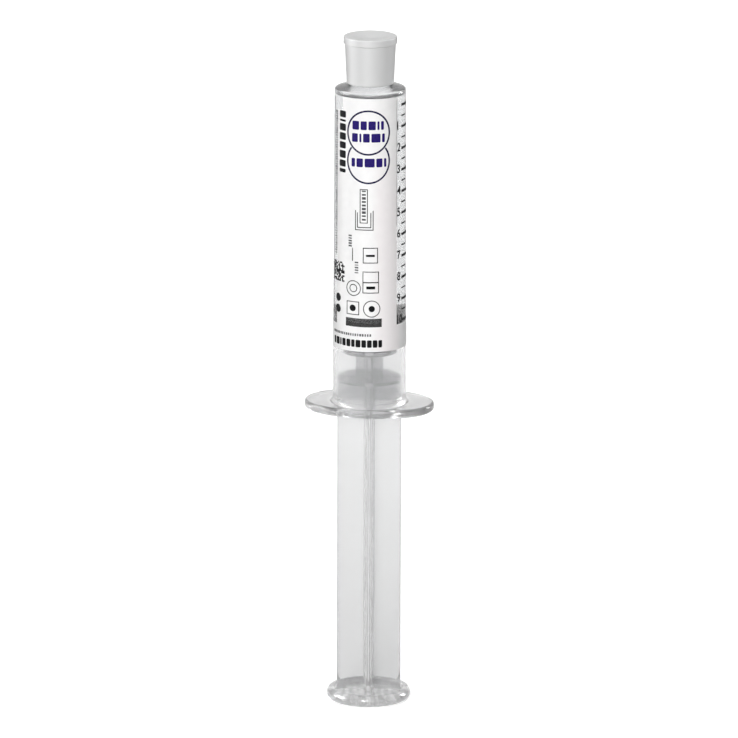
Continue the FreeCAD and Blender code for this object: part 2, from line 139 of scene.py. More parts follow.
def fillInputs(tree, node, inputs):
    # each input gets a link from another node's output, or a plain value
    for key, value in dict(inputs).items():
        if isinstance(value, bpy.types.NodeSocket):
            tree.links.new(value, node.inputs[key])
        else:
            node.inputs[key].default_value = value


def addNode(tree, kind, inputs, settings):
    node = tree.nodes.new(kind)
    for key, setting in settings.items():
        setattr(node, key, setting)
    fillInputs(tree, node, inputs)
    return node


class GeometryTree:
    # a tree with named inputs that ends in Realize Instances and Set Material
    kinds = {float: "NodeSocketFloat", int: "NodeSocketInt"}

    def __init__(self, name, inputs):
        self.tree = bpy.data.node_groups.new(name, "GeometryNodeTree")
        sockets = self.tree.interface
        for label, usual in inputs.items():
            socket = sockets.new_socket(label, in_out="INPUT", socket_type=self.kinds[type(usual)])
            socket.default_value = usual
        sockets.new_socket("Material", in_out="INPUT", socket_type="NodeSocketMaterial")
        sockets.new_socket("Geometry", in_out="OUTPUT", socket_type="NodeSocketGeometry")
        self.given = self.tree.nodes.new("NodeGroupInput").outputs

    def node(self, kind, inputs=(), **settings):
        return addNode(self.tree, kind, inputs, settings)

    def add(self, kind, inputs=(), **settings):
        return self.node(kind, inputs, **settings).outputs[0]

    def math(self, operation, first, second=0.0):
        return self.add("ShaderNodeMath", {0: first, 1: second}, operation=operation)

    def vector(self, x=0.0, y=0.0, z=0.0):
        return self.add("ShaderNodeCombineXYZ", {"X": x, "Y": y, "Z": z})

    def moved(self, geometry, offset):
        return self.add("GeometryNodeTransform", {"Geometry": geometry, "Translation": offset})

    def joined(self, *parts):
        node = self.tree.nodes.new("GeometryNodeJoinGeometry")
        for part in parts:
            self.tree.links.new(part, node.inputs[0])
        return node.outputs[0]

    def finish(self, geometry):
        whole = self.add("GeometryNodeRealizeInstances", {"Geometry": geometry})
        dressed = self.add("GeometryNodeSetMaterial", {"Geometry": whole, "Material": self.given["Material"]})
        self.tree.links.new(dressed, self.tree.nodes.new("NodeGroupOutput").inputs[0])
        return self.tree


def grownMesh(name, tree, inputs, material):
    # what the tree makes from these inputs, as a plain mesh
    holder = bpy.data.objects.new(name, bpy.data.meshes.new(name))
    bpy.context.scene.collection.objects.link(holder)
    modifier = holder.modifiers.new("nodes", "NODES")
    modifier.node_group = tree
    for socket in tree.interface.items_tree:
        if socket.in_out == "INPUT":
            modifier[socket.identifier] = material if socket.name == "Material" else inputs[socket.name]
    evaluated = holder.evaluated_get(bpy.context.evaluated_depsgraph_get())
    mesh = bpy.data.meshes.new_from_object(evaluated)
    holder.modifiers.remove(modifier)
    bpy.data.objects.remove(holder)
    mesh.name = name
    return mesh


# Materials

class Finish:
    # a material's node tree, with short ways to add a node and join its sockets
    def __init__(self, name, tree=None):
        if not tree:
            self.material = bpy.data.materials.new(name)
            self.material.use_nodes = True
            tree = self.material.node_tree
        self.tree = tree
        self.surface = tree.nodes.get("Principled BSDF")

    def add(self, kind, inputs=(), **settings):
        return addNode(self.tree, "ShaderNode" + kind, inputs, settings)

    def fill(self, node, inputs):
        fillInputs(self.tree, node, inputs)

    def math(self, operation, first, second=0.0):
        return self.add("Math", {0: first, 1: second}, operation=operation).outputs[0]

    def between(self, value, low, high, soft=0.0):
        # 1 between two limits and 0 beyond them, with a soft edge of that width
        if not soft:
            above = self.math("GREATER_THAN", value, low)
            below = self.math("LESS_THAN", value, high)
            return self.math("MULTIPLY", above, below)
        rise = self.add("MapRange", {"Value": value, "From Min": low - soft, "From Max": low})
        fall = self.add("MapRange", {
            "Value": value, "From Min": high, "From Max": high + soft, "To Min": 1.0, "To Max": 0.0,
        })
        return self.math("MULTIPLY", rise.outputs[0], fall.outputs[0])

    def mix(self, share, first, second):
        return self.add("Mix", {0: share, 6: first, 7: second}, data_type="RGBA").outputs[2]

    def set(self, socket, value):
        self.fill(self.surface, {socket: value})

    def relief(self, height, strength, distance):
        bump = self.add("Bump", {"Height": height, "Strength": strength, "Distance": distance})
        self.set("Normal", bump.outputs["Normal"])

    def place(self):
        return self.add("TexCoord").outputs["Object"]

    def height(self):
        # mm above the floor
        apart = self.add("SeparateXYZ", {"Vector": self.place()})
        return self.math("DIVIDE", apart.outputs["Z"], mm)

    def radius(self):
        # mm from the upright axis
        flat = self.add("VectorMath", {0: self.place(), 1: (1, 1, 0)}, operation="MULTIPLY").outputs[0]
        reach = self.add("VectorMath", {0: flat}, operation="LENGTH").outputs["Value"]
        return self.math("DIVIDE", reach, mm)

    def profile(self, value, stops):
        # an amount that changes along stops of (value, amount)
        first = stops[0][0]
        last = stops[-1][0]
        share = self.add("MapRange", {"Value": value, "From Min": first, "From Max": last}).outputs[0]
        ramp = self.add("ValToRGB", {"Fac": share})
        points = ramp.color_ramp.elements
        for place, amount in stops[1:-1]:
            points.new((place - first) / (last - first))
        for point, (place, amount) in zip(points, stops):
            point.color = (amount, amount, amount, 1)
        return ramp.outputs["Color"]

    def scaled(self, colour, share):
        return self.add("VectorMath", {0: colour, "Scale": share}, operation="SCALE").outputs[0]


def makeMouldedGroup():
    # slow clouds in tone and gloss, and a fine grain, as every moulded or coated surface here has
    group = bpy.data.node_groups.new("mouldedSurface", "ShaderNodeTree")
    inputs = {
        "Place": "Vector", "Cloud Scale": "Float", "Grain Scale": "Float", "Stretch": "Vector",
        "Dark Tone": "Color", "Light Tone": "Color", "Least Roughness": "Float", "Most Roughness": "Float",
    }
    outputs = {"Color": "Color", "Roughness": "Float", "Height": "Float"}
    for label, kind in inputs.items():
        group.interface.new_socket(label, in_out="INPUT", socket_type="NodeSocket" + kind)
    for label, kind in outputs.items():
        group.interface.new_socket(label, in_out="OUTPUT", socket_type="NodeSocket" + kind)
    nodes = Finish("mouldedSurface", group)
    given = group.nodes.new("NodeGroupInput").outputs
    drawn = nodes.add("VectorMath", {0: given["Place"], 1: given["Stretch"]}, operation="MULTIPLY").outputs[0]
    cloud = nodes.add("TexNoise", {"Vector": drawn, "Scale": given["Cloud Scale"], "Detail": 3.0})
    grain = nodes.add("TexNoise", {"Vector": given["Place"], "Scale": given["Grain Scale"], "Detail": 2.0})
    spread = {"Value": cloud.outputs["Fac"], "From Min": 0.3, "From Max": 0.7}  # most of the noise's values
    share = nodes.add("MapRange", spread).outputs[0]
    gloss = nodes.add("MapRange", {
        **spread, "To Min": given["Least Roughness"], "To Max": given["Most Roughness"],
    }).outputs[0]
    result = group.nodes.new("NodeGroupOutput").inputs
    group.links.new(nodes.mix(share, given["Dark Tone"], given["Light Tone"]), result["Color"])
    group.links.new(gloss, result["Roughness"])
    group.links.new(grain.outputs["Fac"], result["Height"])
    return group


mouldedGroup = makeMouldedGroup()


def moulded(name, look):
    # a material with the moulded surface's tone and gloss; returns it and the group's node
    nodes = Finish(name)
    skin = nodes.add("Group", {
        "Place": nodes.place(), "Cloud Scale": look["cloud"], "Grain Scale": look["grain"],
        "Stretch": look.get("stretch", (1, 1, 1)),
        "Dark Tone": (*look["dark"], 1), "Light Tone": (*look["light"], 1),
        "Least Roughness": look["gloss"][0], "Most Roughness": look["gloss"][1],
    }, node_tree=mouldedGroup)
    nodes.set("Base Color", skin.outputs["Color"])
    nodes.set("Roughness", skin.outputs["Roughness"])
    nodes.set("Specular IOR Level", look.get("shine", 0.5))
    if "relief" in look:
        strength, distance = look["relief"]
        nodes.relief(skin.outputs["Height"], strength, distance)
    return nodes, skin


def clearMoulding(name, look):
    nodes, skin = moulded(name, look)
    nodes.set("IOR", look["bending"])
    nodes.set("Transmission Weight", look["clearness"])
    return nodes, skin


def refinish(node, material):
    # the frame's own node shows this material in its slots
    piece = frame["nodes"][node]
    for slot in piece.material_slots:
        slot.link = "OBJECT"
        slot.material = material


# Barrel and rod: the drafted mouldings come from the frame and get their clear plastic here
print("clear mouldings")
barrelLook = {
    "dark": (0.94, 0.942, 0.945), "light": (0.97, 0.972, 0.975),  # tint of the plastic
    "gloss": (0.07, 0.11), "clearness": 0.985, "bending": 1.49, "mirror": 0.35,
    "cloud": 90.0, "grain": 800.0, "stretch": (1, 1, 0.25),
    # share of the tint at heights in mm; the shoulder above 149.6 mm is lighter, a painted highlight
    "paintedLightAt": [(70, 0.84), (149, 0.84), (149.6, 1.0), (162, 1.0)],
    # and at radii in mm, for the flange
    "tintOut": [(0, 1.0), (9.3, 1.0), (10.3, 0.76), (20, 0.76)],
    # roughness added at heights in mm: the mould is matt below the label and at the shoulder
    "hazeAt": [(70, 0.12), (75, 0.1), (86.5, 0.08), (87.5, 0.0), (149, 0.0), (149.6, 0.1), (162, 0.1)],
}
rodLook = {
    "dark": (0.72, 0.722, 0.725), "light": (0.75, 0.752, 0.755),
    "gloss": (0.1, 0.16), "clearness": 0.8, "bending": 1.49,
    "cloud": 60.0, "grain": 800.0, "stretch": (1, 1, 0.2),
    "footShadeShare": 0.8, "shadeTop": 80.0,  # painted shade: the colour falls to this share at the floor, from this height in mm
}


def makeClearBarrel():
    look = barrelLook
    nodes, skin = clearMoulding("clearBarrel", look)
    height = nodes.height()
    haze = nodes.profile(height, look["hazeAt"])
    nodes.set("Roughness", nodes.math("ADD", skin.outputs["Roughness"], haze))
    # painted highlight: the shoulder's colour is lighter than the barrel's below the label
    upward = nodes.profile(height, look["paintedLightAt"])
    outward = nodes.profile(nodes.radius(), look["tintOut"])
    nodes.set("Base Color", nodes.scaled(skin.outputs["Color"], nodes.math("MULTIPLY", upward, outward)))
    nodes.set("Specular Tint", (look["mirror"], look["mirror"], look["mirror"], 1))
    return nodes.material


def makeClearRod():
    look = rodLook
    nodes, skin = clearMoulding("clearRod", look)
    # painted shade: the rod's colour is darker towards the floor
    paintedShade = nodes.add("MapRange", {
        "Value": nodes.height(), "From Min": 0.0, "From Max": look["shadeTop"], "To Min": look["footShadeShare"],
        "To Max": 1.0,
    }).outputs[0]
    nodes.set("Base Color", nodes.scaled(skin.outputs["Color"], paintedShade))
    return nodes.material


clearBarrel = makeClearBarrel()
clearRod = makeClearRod()
refinish("barrel", clearBarrel)
refinish("plunger_rod", clearRod)

# Cap
capLook = {
    "dark": (0.55, 0.555, 0.555), "light": (0.59, 0.59, 0.59), "shine": 1.0,
    "gloss": (0.4, 0.5), "cloud": 160.0, "stretch": (1, 1, 0.12), "grain": 900.0, "relief": (0.05, 0.00005),
}
capPlastic = moulded("capPlastic", capLook)[0].material
refinish("tip_cap", capPlastic)

# Lock threads: a two-start rib inside the collar, and a lower one round the cap's hub that clears it
print("threads")
threadSizes = {  # mm; Lead is the rise of each start in one turn, Foot and Crest are widths, Base is a height
    "both": {"Lead": 5.0, "Foot": 1.1, "Crest": 0.45},
    "collar": {"Root Radius": 4.03, "Crest Radius": 3.67, "Turns": 0.9, "Base": 152.67},
    "hub": {"Root Radius": 3.27, "Crest Radius": 3.54, "Turns": 0.5, "Base": 153.27},
}


def makeThreadTree():
    tree = GeometryTree("lockThread", {
        "Root Radius": 4.0, "Crest Radius": 3.7, "Foot": 1.0, "Crest": 0.4, "Lead": 5.0, "Turns": 1.0,
        "Base": 0.0,
    })
    given = tree.given
    depth = tree.math("SUBTRACT", given["Crest Radius"], given["Root Radius"])
    middle = tree.math("MULTIPLY", tree.math("ADD", given["Crest Radius"], given["Root Radius"]), 0.5)
    path = tree.add("GeometryNodeCurveSpiral", {
        "Resolution": 72, "Rotations": given["Turns"], "Start Radius": middle, "End Radius": middle,
        "Height": tree.math("MULTIPLY", given["Lead"], given["Turns"]),
    })
    upright = tree.add("GeometryNodeSetCurveNormal", {"Curve": path}, mode="Z_UP")
    section = tree.add("GeometryNodeCurvePrimitiveQuadrilateral", {
        "Height": tree.math("ABSOLUTE", depth), "Bottom Width": given["Foot"], "Top Width": given["Crest"],
        "Offset": 0.0,
    }, mode="TRAPEZOID")
    turn = tree.math("MULTIPLY", tree.math("SIGN", depth), math.pi / 2)
    outward = tree.add("GeometryNodeTransform", {"Geometry": section, "Rotation": tree.vector(z=turn)})
    rib = tree.add("GeometryNodeCurveToMesh", {"Curve": upright, "Profile Curve": outward, "Fill Caps": True})
    other = tree.add("GeometryNodeTransform", {"Geometry": rib, "Rotation": (0.0, 0.0, math.pi)})
    return tree.finish(tree.moved(tree.joined(rib, other), tree.vector(z=given["Base"])))


def addThread(name, tree, place, material, body):
    mesh = grownMesh(name, tree, {**threadSizes["both"], **threadSizes[place]}, material)
    shape = bmesh.new()
    shape.from_mesh(mesh)
    bmesh.ops.remove_doubles(shape, verts=shape.verts, dist=0.0005)
    bmesh.ops.recalc_face_normals(shape, faces=shape.faces)
    bmesh.ops.scale(shape, vec=(mm, mm, mm), verts=shape.verts)
    shape.to_mesh(mesh)
    shape.free()
    piece = linkMesh(name, mesh, material)
    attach(piece, body)
    radii = [vert.co.xy.length / mm for vert in mesh.vertices]
    print("  %s: radius %.2f to %.2f mm" % (name, min(radii), max(radii)))


threadTree = makeThreadTree()
addThread("collar_thread", threadTree, "collar", clearBarrel, "barrel")
addThread("hub_thread", threadTree, "hub", capPlastic, "tip_cap")

# Stopper and liquid: they press on the wall, so nothing but plastic lies between them and the eye
print("stopper and liquid")
stopperLow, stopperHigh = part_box("stopper")
stopperSizes = {
    "rear": stopperLow.z / mm, "boreRadius": 7.8, "press": 0.02,  # mm that the seals sink into the wall
    "sealWidth": 1.4, "sealSlope": 0.4, "waist": 0.45, "length": 7.25, "softness": 0.3,
    "noseRadius": 7.3, "noseEdge": 8.96, "noseTop": (stopperHigh.z - stopperLow.z) / mm, "noseFlat": 1.2,
    "mouthRadius": 2.58, "socketRadius": 4.08, "lip": 1.45, "socketTop": 3.65, "socketEnd": 4.75,
}


def makeStopper():
    size = stopperSizes
    seal = size["boreRadius"] + size["press"]
    waist = seal - size["waist"]
    soft = size["softness"]
    front = size["length"] - size["sealWidth"]
    outline = [
        (0, size["socketEnd"], 0),
        (size["mouthRadius"], size["socketEnd"], soft),
        (size["socketRadius"], size["socketTop"], soft),
        (size["socketRadius"], size["lip"], soft),
        (size["mouthRadius"], size["lip"], soft),
        (size["mouthRadius"], 0, soft),
        (waist, 0, soft),
        (seal, size["sealSlope"], soft),
        (seal, size["sealSlope"] + size["sealWidth"], soft),
        (waist, 2 * size["sealSlope"] + size["sealWidth"], soft),
        (waist, front - size["sealSlope"], soft),
        (seal, front, soft),
        (seal, size["length"], soft),
        (size["noseRadius"], size["noseEdge"], 2 * soft),
        (size["noseFlat"], size["noseTop"], 2 * soft),
        (0, size["noseTop"], 0),
    ]
    placed = [(radius, height + size["rear"], rounding) for radius, height, rounding in outline]
    piece = turnedSolid("rubber_stopper", placed, rubber)
    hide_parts("stopper")
    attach(piece, "stopper")


liquidSizes = {
    "press": 0.03,  # mm that the liquid reaches into the walls round it
    "corner": 149.07, "coneTop": 150.57, "channelRadius": 1.1, "cornerRound": 0.3,
    "leftWhenEmpty": 0.004,  # share of its height that stays at the end of the stroke
}


def makeLiquid():
    size = liquidSizes
    press = size["press"]
    wall = stopperSizes["boreRadius"] + press
    rear = stopperSizes["rear"] - press
    outline = [
        (0, rear + stopperSizes["noseTop"], 0),
        (stopperSizes["noseFlat"], rear + stopperSizes["noseTop"], 0),
        (stopperSizes["noseRadius"], rear + stopperSizes["noseEdge"], 0.5),
        (wall, rear + stopperSizes["length"], 0),
        (wall, size["corner"] + press, size["cornerRound"]),
        (size["channelRadius"], size["coneTop"] + press, 0),
        (0, size["coneTop"] + press, 0),
    ]
    piece = turnedSolid("flush_liquid", outline, liquid)
    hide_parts("saline")
    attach(piece, "barrel")
    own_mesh(piece)


rubberLook = {
    "dark": (0.004, 0.004, 0.004), "light": (0.01, 0.01, 0.01),
    "shine": 0.1,  # it touches the wall and the liquid, which leave it little shine
    "gloss": (0.36, 0.52), "cloud": 200.0, "grain": 1500.0, "relief": (0.12, 0.00005),
}
liquidLook = {
    "dark": (0.97, 0.98, 0.985), "light": (0.985, 0.99, 0.995),
    "gloss": (0.0, 0.01), "clearness": 1.0, "bending": 1.333, "cloud": 40.0, "grain": 200.0,
}
rubber = moulded("blackRubber", rubberLook)[0].material
liquid = clearMoulding("clearLiquid", liquidLook)[0].material
makeStopper()
makeLiquid()

# Label: a clear film, printed white in front and all round its foot
print("label")
labelPlan = {
    "fieldLeft": -62.0, "fieldRight": 46.8,  # white field, degrees round from the front
    "notchRight": -48.5, "notchBottom": 146.0,  # clear corner at its upper left
    "ringTop": 93.9,  # white all round below this height, mm
    "windowLeft": -40.5, "windowRight": 19.5, "windowTop": 96.0,  # clear window over the filling line
    "stripRight": 86.0,  # hazy strip under the scale, from the white field to here
    "clear": 0.004, "haze": 0.13, "cover": 0.99,  # how much the clear, hazy and white parts hide
    "thickness": 0.06, "paintedInnerGlow": 0.5,  # mm, and the strength of a painted glow on the white print's inner side, in place of daylight through it
    "draft": 0.3 / 78.34,  # loss of radius per mm of height
    # faint warm cast in the field's lower right, with soft edges in degrees and in mm
    "warmLeft": 14.0, "warmRight": 46.0, "warmBottom": 60.0, "warmTop": 126.0,
    "warmEdges": (12.0, 14.0), "warmShare": 0.35, "warmTone": (0.88, 0.8, 0.81, 1),
}
filmLook = {
    "dark": (0.86, 0.855, 0.855), "light": (0.9, 0.896, 0.894),
    "gloss": (0.28, 0.38), "cloud": 500.0, "grain": 2500.0, "relief": (0.04, 0.00003),
}

labelLow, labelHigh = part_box("label")
filmBottom = labelLow.z / mm
filmTop = labelHigh.z / mm
filmBottomRadius = labelHigh.x / mm


def filmRadius(height):
    return filmBottomRadius - labelPlan["draft"] * (height - filmBottom)


def makeFilm():
    plan = labelPlan
    nodes, skin = moulded("labelFilm", filmLook)
    apart = nodes.add("SeparateXYZ", {"Vector": nodes.place()})
    toward = nodes.math("MULTIPLY", apart.outputs["Y"], -1.0)
    angle = nodes.math("MULTIPLY", nodes.math("ARCTAN2", apart.outputs["X"], toward), math.degrees(1))
    height = nodes.height()
    field = nodes.between(angle, plan["fieldLeft"], plan["fieldRight"])
    corner = nodes.between(angle, plan["fieldLeft"], plan["notchRight"])
    notch = nodes.math("MULTIPLY", corner, nodes.math("GREATER_THAN", height, plan["notchBottom"]))
    opening = nodes.between(angle, plan["windowLeft"], plan["windowRight"])
    window = nodes.math("MULTIPLY", opening, nodes.between(height, plan["ringTop"], plan["windowTop"]))
    white = nodes.math("SUBTRACT", nodes.math("SUBTRACT", field, notch), window)
    white = nodes.math("MAXIMUM", white, nodes.math("LESS_THAN", height, plan["ringTop"]))
    strip = nodes.math("MULTIPLY", nodes.between(angle, plan["fieldRight"], plan["stripRight"]), plan["haze"])
    cover = nodes.math("MAXIMUM", nodes.math("MULTIPLY", white, plan["cover"]), strip)
    nodes.set("Alpha", nodes.math("MAXIMUM", cover, plan["clear"]))
    # a painted glow on the white print's inner side only, in place of the daylight that passes through the
    # thin print
    fall = nodes.math("MULTIPLY", nodes.math("SUBTRACT", height, filmBottom), plan["draft"])
    upright = nodes.math("ADD", nodes.radius(), fall)
    inner = nodes.math("LESS_THAN", upright, filmBottomRadius - plan["thickness"] / 2)
    nodes.set("Emission Color", nodes.mix(nodes.math("MULTIPLY", inner, white), (0, 0, 0, 1), (1, 1, 1, 1)))
    nodes.set("Emission Strength", plan["paintedInnerGlow"])
    sideways = nodes.between(angle, plan["warmLeft"], plan["warmRight"], plan["warmEdges"][0])
    upward = nodes.between(height, plan["warmBottom"], plan["warmTop"], plan["warmEdges"][1])
    warm = nodes.math("MULTIPLY", nodes.math("MULTIPLY", sideways, upward), plan["warmShare"])
    nodes.set("Base Color", nodes.mix(warm, skin.outputs["Color"], plan["warmTone"]))
    return nodes.material


refinish("label", makeFilm())

# Print on the film
inkLook = {"gloss": (0.5, 0.65), "cloud": 2000.0, "grain": 5000.0, "shine": 0.04}


def inkMaterial(name, dark, light):
    return moulded(name, {**inkLook, "dark": dark, "light": light})[0].material


blackInk = inkMaterial("blackInk", (0.004, 0.004, 0.005), (0.012, 0.012, 0.013))
violetInk = inkMaterial("violetInk", (0.018, 0.01, 0.12), (0.03, 0.018, 0.16))
outlineInk = inkMaterial("outlineInk", (0.012, 0.01, 0.045), (0.022, 0.02, 0.065))
greyInk = inkMaterial("greyInk", (0.07, 0.07, 0.075), (0.11, 0.11, 0.115))

inkSizes = {
    "thickness": 0.03,  # mm of ink on the film
    "sink": 0.02,  # mm of it inside the film's surface
    "column": 0.4,  # mm, width of the columns that it's cut into before it bends
}
middleRadius = filmRadius((filmTop + filmBottom) / 2)


def across(degrees):
    # mm round the film from the middle of its front
    return math.radians(degrees) * middleRadius


def wrapped(name, shape, material):
    # a flat drawing, across in x and up in y in mm, is cut into narrow columns that then
    # bend round the film as a thin solid
    places = [vert.co.x for vert in shape.verts]
    for step in range(1, math.ceil((max(places) - min(places)) / inkSizes["column"])):
        everything = shape.verts[:] + shape.edges[:] + shape.faces[:]
        cut = Vector((min(places) + step * inkSizes["column"], 0, 0))
        bmesh.ops.bisect_plane(shape, geom=everything, plane_co=cut, plane_no=(1, 0, 0))
    bmesh.ops.triangulate(shape, faces=shape.faces)
    raised = bmesh.ops.extrude_face_region(shape, geom=shape.faces[:])
    for vert in (part for part in raised["geom"] if isinstance(part, bmesh.types.BMVert)):
        vert.co.z += inkSizes["thickness"]
    bmesh.ops.recalc_face_normals(shape, faces=shape.faces)
    for vert in shape.verts:
        angle = vert.co.x / middleRadius
        radius = filmRadius(vert.co.y) + vert.co.z - inkSizes["sink"]
        vert.co = Vector((radius * math.sin(angle), -radius * math.cos(angle), vert.co.y)) * mm
    mesh = bpy.data.meshes.new(name)
    shape.to_mesh(mesh)
    shape.free()
    piece = linkMesh(name, mesh, material)
    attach(piece, "barrel")


def onCircle(centre, radius, angle):
    return (centre[0] + radius * math.cos(angle), centre[1] + radius * math.sin(angle), 0)


def drawFace(shape, corners):
    shape.faces.new([shape.verts.new(corner) for corner in corners])


def drawBlock(shape, left, low, right, high, corner=0.0):
    # a filled rectangle, with round corners where a radius is given
    corner = min(corner, (right - left) / 2, (high - low) / 2)
    if corner < 0.02:
        drawFace(shape, [(left, low, 0), (right, low, 0), (right, high, 0), (left, high, 0)])
        return
    centres = [(right - corner, high - corner), (left + corner, high - corner),
               (left + corner, low + corner), (right - corner, low + corner)]
    outline = []
    for quarter, centre in enumerate(centres):
        for step in range(5):
            outline.append(onCircle(centre, corner, math.pi / 2 * (quarter + step / 4)))
    drawFace(shape, outline)


def drawFrame(shape, left, low, right, high, line, openTop=False):
    # a rectangular line of even width
    drawBlock(shape, left, low, left + line, high)
    drawBlock(shape, right - line, low, right, high)
    drawBlock(shape, left + line, low, right - line, low + line)
    if not openTop:
        drawBlock(shape, left + line, high - line, right - line, high)


def drawRing(shape, centre, radius, line, hidden=None, steps=96):
    # a round line, left out where it runs behind the disc that hidden gives as (centre, radius)
    for step in range(steps):
        start = 2 * math.pi * step / steps
        end = 2 * math.pi * (step + 1) / steps
        middle = Vector(onCircle(centre, radius, (start + end) / 2)).xy
        if hidden and (middle - Vector(hidden[0])).length < hidden[1]:
            continue
        drawFace(shape, [
            onCircle(centre, radius - line / 2, start), onCircle(centre, radius + line / 2, start),
            onCircle(centre, radius + line / 2, end), onCircle(centre, radius - line / 2, end),
        ])
    bmesh.ops.remove_doubles(shape, verts=shape.verts, dist=0.001)


def drawDisc(shape, centre, radius, steps=28):
    drawFace(shape, [onCircle(centre, radius, 2 * math.pi * step / steps) for step in range(steps)])


print("rings and blocks")
ringPrint = {"across": -0.45, "upper": 141.1, "lower": 134.2, "radius": 5.25, "line": 0.42}
upperRing = (ringPrint["across"], ringPrint["upper"])
lowerRing = (ringPrint["across"], ringPrint["lower"])
shape = bmesh.new()
drawRing(shape, upperRing, ringPrint["radius"], ringPrint["line"])
wrapped("ring_upper", shape, outlineInk)
shape = bmesh.new()
drawRing(shape, lowerRing, ringPrint["radius"], ringPrint["line"],
         (upperRing, ringPrint["radius"] + ringPrint["line"] / 2))
wrapped("ring_lower", shape, outlineInk)

blockCorner = 0.25
blockRows = {  # middle height, left end, block height, gap, widths of the blocks, all in mm
    "ring_blocks": [
        (142.85, -4.4, 2.1, 0.4, (1.7, 1.5, 1.75, 0.5, 0.7)),
        (139.85, -4.5, 2.1, 0.4, (1.5, 0.5, 1.6, 2.2, 0.7)),
        (133.85, -4.6, 2.1, 0.4, (0.9, 1.6, 2.4, 1.5, 0.6)),
    ],
    "foot_blocks": [(89.85, -10.6, 1.8, 0.24, (0.9, 1.3, 0.5, 1.1, 1.1, 0.9, 1.2, 1.1, 1.1, 1.1, 0.9))],
}
for name, rows in blockRows.items():
    shape = bmesh.new()
    for middle, left, high, gap, widths in rows:
        for width in widths:
            drawBlock(shape, left, middle - high / 2, left + width, middle + high / 2, blockCorner)
            left += width + gap
    wrapped(name, shape, violetInk if name == "ring_blocks" else blackInk)

sideBlocks = {  # degrees round from the front, then mm
    "left": -56.0, "right": -41.8, "top": 145.9, "gap": 0.5, "corner": 0.3,
    "heights": (1.6, 0.5, 1.7, 1.7, 1.6, 1.8, 1.6, 0.9),
}
shape = bmesh.new()
top = sideBlocks["top"]
for high in sideBlocks["heights"]:
    drawBlock(shape, across(sideBlocks["left"]), top - high, across(sideBlocks["right"]), top,
              sideBlocks["corner"])
    top -= high + sideBlocks["gap"]
wrapped("side_blocks", shape, blackInk)

print("scale")
scalePrint = {
    "zero": 147.07, "millilitres": 10, "perMillilitre": 5.2319,  # heights in mm
    "start": 59.3, "longEnd": 82.0, "shortEnd": 75.0,  # degrees round from the front
    "bold": 0.6, "fine": 0.34,  # mm
    "numeralLeft": 48.2, "numeralHeight": 2.1, "numeralRise": 0.4,  # degrees, then mm
    "numeralWeight": 0.06, "numeralNarrow": 0.9,
    "numeralShare": 0.7,  # height of a numeral in the font's own size
}


def makeTickTree():
    # long lines at whole steps and short ones between them, drawn flat
    tree = GeometryTree("scaleTicks", {
        "Steps": 10, "Spacing": 5.0, "Zero": 0.0, "Start": 0.0, "Long": 2.0, "Short": 1.0, "Bold": 0.5,
        "Fine": 0.25,
    })
    given = tree.given
    drop = tree.vector(y=tree.math("MULTIPLY", given["Spacing"], -1.0))
    halfDrop = tree.math("SUBTRACT", given["Zero"], tree.math("MULTIPLY", given["Spacing"], 0.5))
    rows = [
        (given["Long"], given["Bold"], tree.math("ADD", given["Steps"], 1.0), given["Zero"]),
        (given["Short"], given["Fine"], given["Steps"], halfDrop),
    ]
    parts = []
    for length, line, count, first in rows:
        places = tree.add("GeometryNodeMeshLine", {
            "Count": count, "Start Location": tree.vector(y=first), "Offset": drop,
        })
        bar = tree.add("GeometryNodeMeshGrid", {
            "Size X": length, "Size Y": line, "Vertices X": 2, "Vertices Y": 2,
        })
        reach = tree.math("ADD", given["Start"], tree.math("MULTIPLY", length, 0.5))
        parts.append(tree.add("GeometryNodeInstanceOnPoints", {
            "Points": places, "Instance": tree.moved(bar, tree.vector(x=reach)),
        }))
    return tree.finish(tree.joined(*parts))


def flatDrawing(name, tree, inputs, material):
    mesh = grownMesh(name, tree, inputs, material)
    shape = bmesh.new()
    shape.from_mesh(mesh)
    bpy.data.meshes.remove(mesh)
    return shape


tickInputs = {
    "Steps": scalePrint["millilitres"], "Spacing": scalePrint["perMillilitre"], "Zero": scalePrint["zero"],
    "Start": across(scalePrint["start"]), "Long": across(scalePrint["longEnd"] - scalePrint["start"]),
    "Short": across(scalePrint["shortEnd"] - scalePrint["start"]),
    "Bold": scalePrint["bold"], "Fine": scalePrint["fine"],
}
wrapped("scale_ticks", flatDrawing("scale_ticks", makeTickTree(), tickInputs, blackInk), blackInk)


def drawNumeral(shape, count):
    text = bpy.data.curves.new("numeral", "FONT")
    text.body = str(count)
    text.size = scalePrint["numeralHeight"] / scalePrint["numeralShare"]
    text.offset = scalePrint["numeralWeight"]
    holder = bpy.data.objects.new("numeral", text)
    flat = bpy.data.meshes.new_from_object(holder)
    low = min(vert.co.y for vert in flat.vertices)
    high = max(vert.co.y for vert in flat.vertices)
    left = min(vert.co.x for vert in flat.vertices)
    grow = scalePrint["numeralHeight"] / (high - low)
    middle = scalePrint["zero"] - scalePrint["perMillilitre"] * count + scalePrint["numeralRise"]
    for vert in flat.vertices:
        right = (vert.co.x - left) * grow * scalePrint["numeralNarrow"]
        up = (vert.co.y - (low + high) / 2) * grow
        vert.co = (across(scalePrint["numeralLeft"]) + right, middle + up, 0)
    shape.from_mesh(flat)
    bpy.data.objects.remove(holder)
    bpy.data.meshes.remove(flat)


shape = bmesh.new()
for count in range(1, scalePrint["millilitres"] + 1):
    drawNumeral(shape, count)
wrapped("scale_numerals", shape, blackInk)

print("small print")


